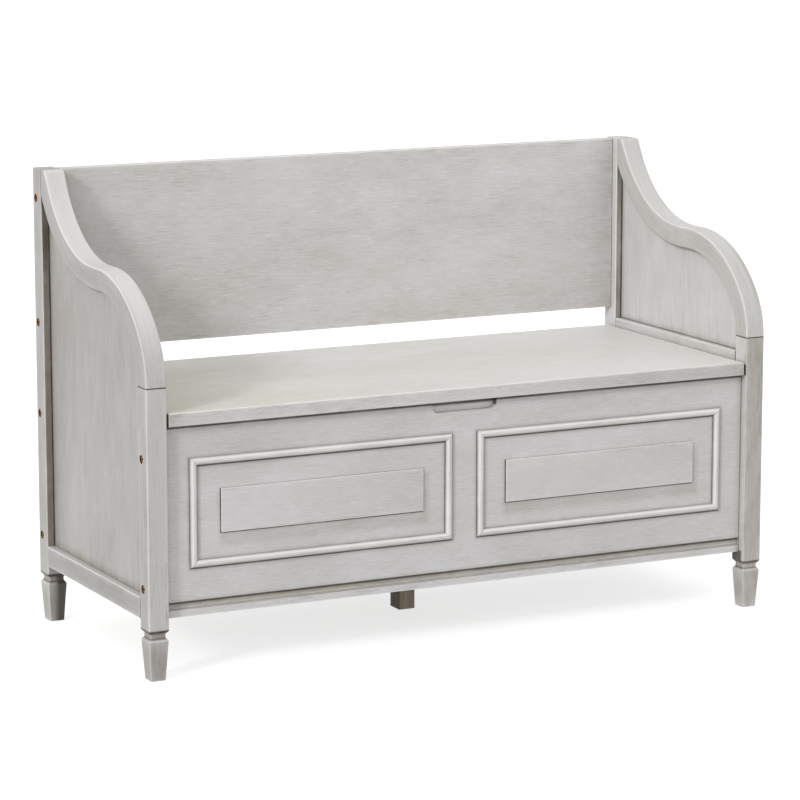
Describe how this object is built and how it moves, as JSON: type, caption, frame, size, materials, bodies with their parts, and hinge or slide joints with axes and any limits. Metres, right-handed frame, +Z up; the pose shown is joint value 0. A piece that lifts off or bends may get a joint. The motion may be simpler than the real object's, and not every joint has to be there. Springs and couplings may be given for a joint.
{
  "type": "settle bench",
  "caption": "Settle bench with S-curved arms, a panelled front, an open slot under the backrest and a hinged seat over a storage box.",
  "frame": {"origin": "on the floor, under the middle of the bench", "axes": "+X to the sitter's left as seen from the front (viewer's right), +Y to the back, +Z up"},
  "size_m": [1.08, 0.457, 0.732],
  "materials": {
    "washed_wood": "grey-white wash over fine grain, dark glaze left in the corners, satin",
    "stained_wood": "plain wood under a thin brown-grey stain",
    "brass_bolt": "yellow zinc plating",
    "zinc_steel": "zinc plated",
    "rubber_pad": "matt"
  },
  "bodies": {
    "case": {"arm_dowels": "stained_wood", "arm_left": "washed_wood", "arm_right": "washed_wood", "backrest_board": "washed_wood", "barrel_nuts": "zinc_steel", "bottom_board": "stained_wood", "centre_bearer": "stained_wood", "centre_leg": "stained_wood", "centre_leg_screw": "zinc_steel", "cleat_screws": "zinc_steel", "floor_screws": "zinc_steel", "front_bottom_rail": "washed_wood", "front_panel": "washed_wood", "front_post_left": "washed_wood", "front_post_right": "washed_wood", "hinge_case_leaves": "zinc_steel", "hinge_case_screws": "zinc_steel", "hinge_cleat": "stained_wood", "hinge_pins": "zinc_steel", "left_frame_bottom_strip": "washed_wood", "left_frame_left_strip": "washed_wood", "left_frame_right_strip": "washed_wood", "left_frame_top_strip": "washed_wood", "lid_bumpers": "rubber_pad", "lower_back_panel": "washed_wood", "lower_side_rail_left": "washed_wood", "lower_side_rail_right": "washed_wood", "post_bolts": "brass_bolt", "raised_field_left": "washed_wood", "raised_field_right": "washed_wood", "rear_cleat": "stained_wood", "rear_post_left": "washed_wood", "rear_post_right": "washed_wood", "right_frame_bottom_strip": "washed_wood", "right_frame_left_strip": "washed_wood", "right_frame_right_strip": "washed_wood", "right_frame_top_strip": "washed_wood", "seat_side_rail_left": "washed_wood", "seat_side_rail_right": "washed_wood", "side_cleat_left": "stained_wood", "side_cleat_right": "stained_wood", "side_panel_left": "washed_wood", "side_panel_right": "washed_wood", "side_rail_dowels": "stained_wood", "stay_case_brackets": "zinc_steel", "stay_case_pins": "zinc_steel", "stay_case_screws": "zinc_steel", "thin_dowels": "stained_wood"},
    "lid": {"lid_board": "washed_wood", "hinge_lid_leaves": "zinc_steel", "hinge_lid_screws": "zinc_steel", "stay_lid_brackets": "zinc_steel", "stay_lid_pins": "zinc_steel", "stay_lid_screws": "zinc_steel"},
    "left_stay_arm": {"stay_arm_left": "zinc_steel", "stay_knuckle_pin_left": "zinc_steel"},
    "left_stay_link": {"stay_link_left": "zinc_steel"},
    "right_stay_arm": {"stay_arm_right": "zinc_steel", "stay_knuckle_pin_right": "zinc_steel"},
    "right_stay_link": {"stay_link_right": "zinc_steel"}
  },
  "joints": [
    {"name": "lid_hinge", "type": "hinge", "parent": "case", "child": "lid", "pos_m": [0, 0.2165, 0.3855], "axis": [-1, 0, 0], "range_deg": [0, 54]},
    {"name": "left_stay_pivot", "type": "hinge", "parent": "case", "child": "left_stay_arm", "pos_m": [0, 0.1615, 0.3505], "axis": [-1, 0, 0], "range_deg": [0, 54]},
    {"name": "left_stay_knuckle", "type": "hinge", "parent": "left_stay_arm", "child": "left_stay_link", "pos_m": [0, 0.0115, 0.3355], "axis": [-1, 0, 0], "range_deg": [-54, 0]},
    {"name": "right_stay_pivot", "type": "hinge", "parent": "case", "child": "right_stay_arm", "pos_m": [0, 0.1615, 0.3505], "axis": [-1, 0, 0], "range_deg": [0, 54]},
    {"name": "right_stay_knuckle", "type": "hinge", "parent": "right_stay_arm", "child": "right_stay_link", "pos_m": [0, 0.0115, 0.3355], "axis": [-1, 0, 0], "range_deg": [-54, 0]}
  ],
  "couplings": [
    {"joint": "left_stay_pivot", "follows": "lid_hinge", "ratio": 1},
    {"joint": "left_stay_knuckle", "follows": "lid_hinge", "ratio": -1},
    {"joint": "right_stay_pivot", "follows": "lid_hinge", "ratio": 1},
    {"joint": "right_stay_knuckle", "follows": "lid_hinge", "ratio": -1}
  ]
}
